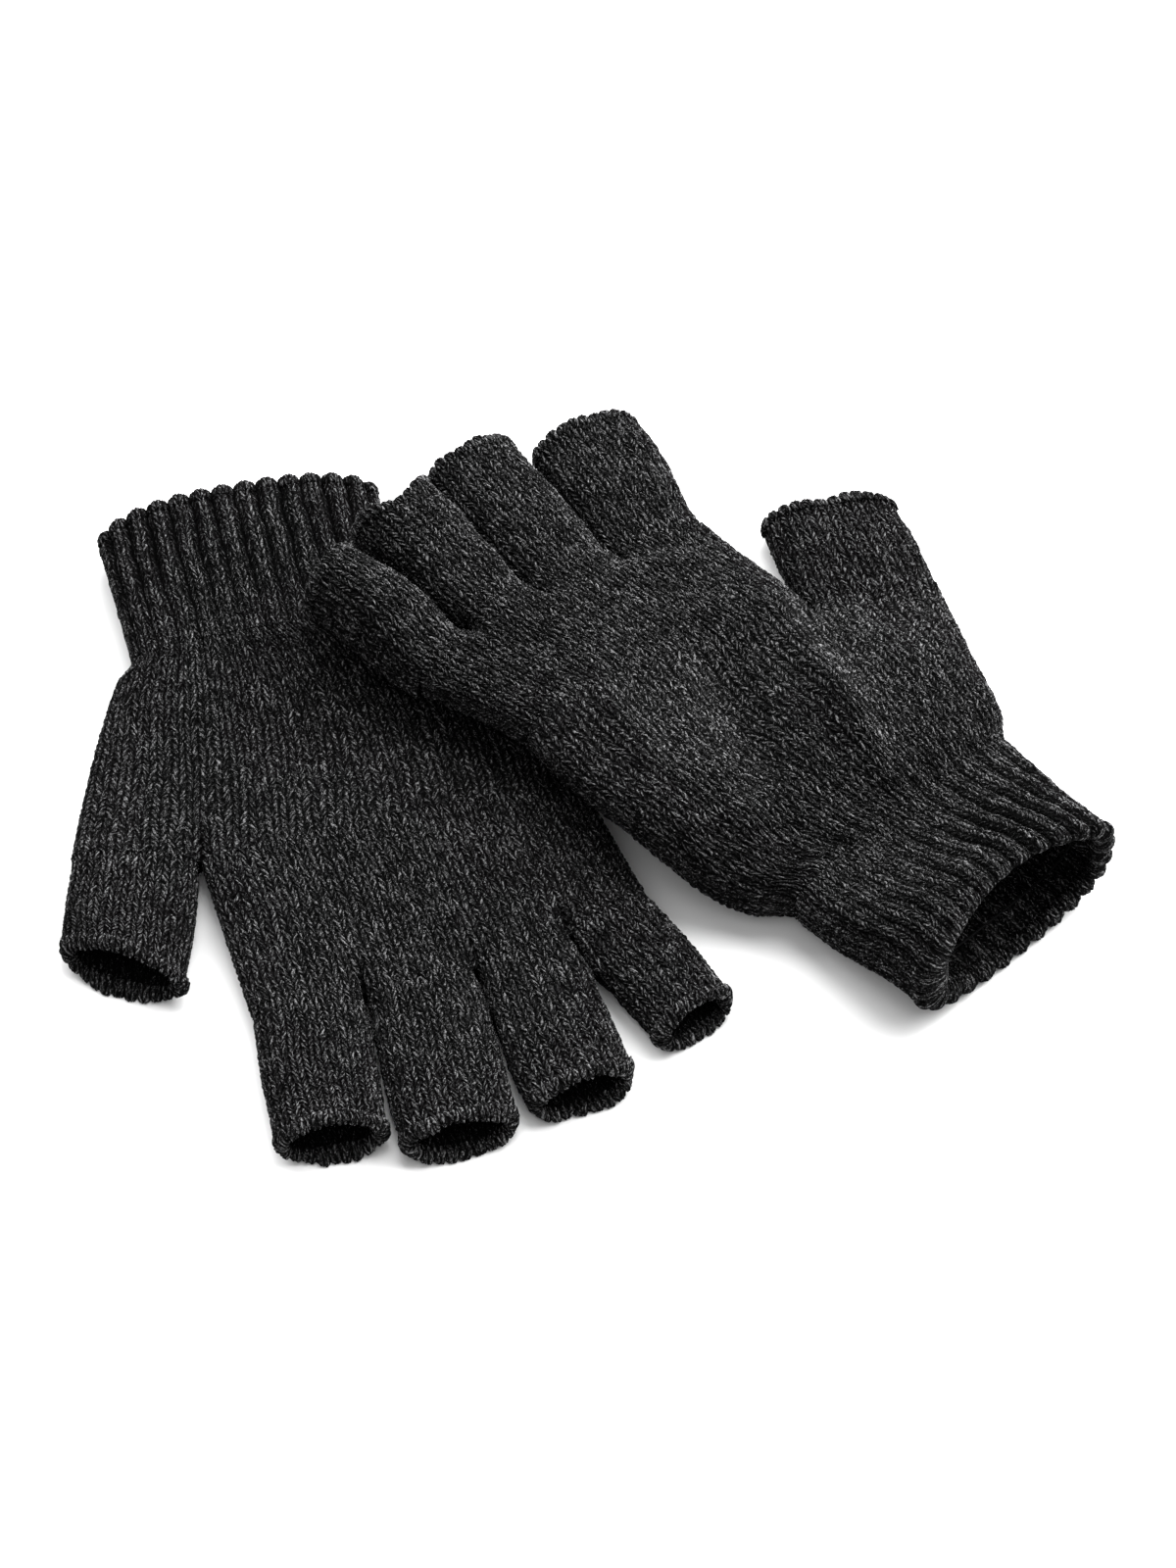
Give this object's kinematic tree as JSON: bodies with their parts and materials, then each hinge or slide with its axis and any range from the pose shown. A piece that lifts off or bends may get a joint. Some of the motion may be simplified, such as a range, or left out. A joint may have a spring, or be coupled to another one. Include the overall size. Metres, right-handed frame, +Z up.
{
  "type": "fingerless gloves",
  "caption": "Pair of plain-knit fingerless gloves with ribbed cuffs and open, curled stall ends; one lies flat and the other lies across its little-finger side.",
  "frame": {"origin": "on the table, at the middle of the pair's footprint", "axes": "+Z up; +X to the right and +Y away, as the pair is seen from the lower glove's fingertips"},
  "size_m": [0.2506, 0.2158, 0.0335],
  "materials": {
    "plain_knit": "charcoal marl plain knit, matt with a soft fuzz",
    "rib_knit": "charcoal marl one-by-one rib, matt",
    "curled_edge": "charcoal marl bound-off row, curled",
    "turned_edge": "charcoal marl turned starting row, scalloped",
    "elastic_thread": "black covered elastic thread"
  },
  "bodies": {
    "lower_hand": {"lower_palm": "plain_knit", "lower_knuckles": "plain_knit", "lower_cuff_rib": "rib_knit", "lower_cuff_edge": "turned_edge", "lower_cuff_elastic": "elastic_thread"},
    "lower_index": {"lower_index": "plain_knit", "lower_index_edge": "curled_edge"},
    "lower_middle": {"lower_middle": "plain_knit", "lower_middle_edge": "curled_edge"},
    "lower_ring": {"lower_ring": "plain_knit", "lower_ring_edge": "curled_edge"},
    "lower_little": {"lower_little": "plain_knit", "lower_little_edge": "curled_edge"},
    "lower_thumb": {"lower_thumb": "plain_knit", "lower_thumb_edge": "curled_edge"},
    "upper_hand": {"upper_palm": "plain_knit", "upper_knuckles": "plain_knit"},
    "upper_cuff": {"upper_cuff_rib": "rib_knit", "upper_cuff_edge": "turned_edge", "upper_cuff_elastic": "elastic_thread"},
    "upper_index": {"upper_index": "plain_knit", "upper_index_edge": "curled_edge"},
    "upper_middle": {"upper_middle": "plain_knit", "upper_middle_edge": "curled_edge"},
    "upper_ring": {"upper_ring": "plain_knit", "upper_ring_edge": "curled_edge"},
    "upper_little": {"upper_little": "plain_knit", "upper_little_edge": "curled_edge"},
    "upper_thumb": {"upper_thumb": "plain_knit", "upper_thumb_edge": "curled_edge"}
  },
  "joints": [
    {"name": "lower_index_fold", "type": "hinge", "parent": "lower_hand", "child": "lower_index", "pos_m": [-0.06596, -0.06587, 0.011], "axis": [-0.9848, -0.1736, 0], "range_deg": [0, 90]},
    {"name": "lower_middle_fold", "type": "hinge", "parent": "lower_hand", "child": "lower_middle", "pos_m": [-0.03945, -0.06001, 0.011], "axis": [-0.9659, -0.2588, 0], "range_deg": [0, 90]},
    {"name": "lower_ring_fold", "type": "hinge", "parent": "lower_hand", "child": "lower_ring", "pos_m": [-0.0152, -0.05175, 0.011], "axis": [-0.9205, -0.3907, 0], "range_deg": [0, 90]},
    {"name": "lower_little_fold", "type": "hinge", "parent": "lower_hand", "child": "lower_little", "pos_m": [0.00492, -0.04053, 0.011], "axis": [-0.809, -0.5878, 0], "range_deg": [0, 90]},
    {"name": "lower_thumb_fold", "type": "hinge", "parent": "lower_hand", "child": "lower_thumb", "pos_m": [-0.10823, -0.02534, 0.011], "axis": [-0.9986, 0.0523, 0], "range_deg": [0, 90]},
    {"name": "upper_lift", "type": "slide", "parent": "lower_hand", "child": "upper_hand", "axis": [0, 0, 1], "range_m": [0, 0.1]},
    {"name": "upper_cuff_fold", "type": "hinge", "parent": "upper_hand", "child": "upper_cuff", "pos_m": [0.0739, -0.0176, 0.017], "axis": [-0.7373, -0.6756, 0], "range_deg": [0, 60]},
    {"name": "upper_index_fold", "type": "hinge", "parent": "upper_hand", "child": "upper_index", "pos_m": [0.01752, 0.06676, 0.01568], "axis": [0.8537, 0.5028, -0.1357], "range_deg": [0, 90]},
    {"name": "upper_middle_fold", "type": "hinge", "parent": "upper_hand", "child": "upper_middle", "pos_m": [-0.00433, 0.05264, 0.02324], "axis": [0.8066, 0.5753, -0.1357], "range_deg": [0, 90]},
    {"name": "upper_ring_fold", "type": "hinge", "parent": "upper_hand", "child": "upper_ring", "pos_m": [-0.02187, 0.03836, 0.02883], "axis": [0.7187, 0.682, -0.1357], "range_deg": [0, 90]},
    {"name": "upper_little_fold", "type": "hinge", "parent": "upper_hand", "child": "upper_little", "pos_m": [-0.03481, 0.02303, 0.02898], "axis": [0.5468, 0.8262, -0.1357], "range_deg": [0, 90]},
    {"name": "upper_thumb_fold", "type": "hinge", "parent": "upper_hand", "child": "upper_thumb", "pos_m": [0.06855, 0.05202, 0.01107], "axis": [0.9537, 0.3007, 0], "range_deg": [0, 90]}
  ]
}
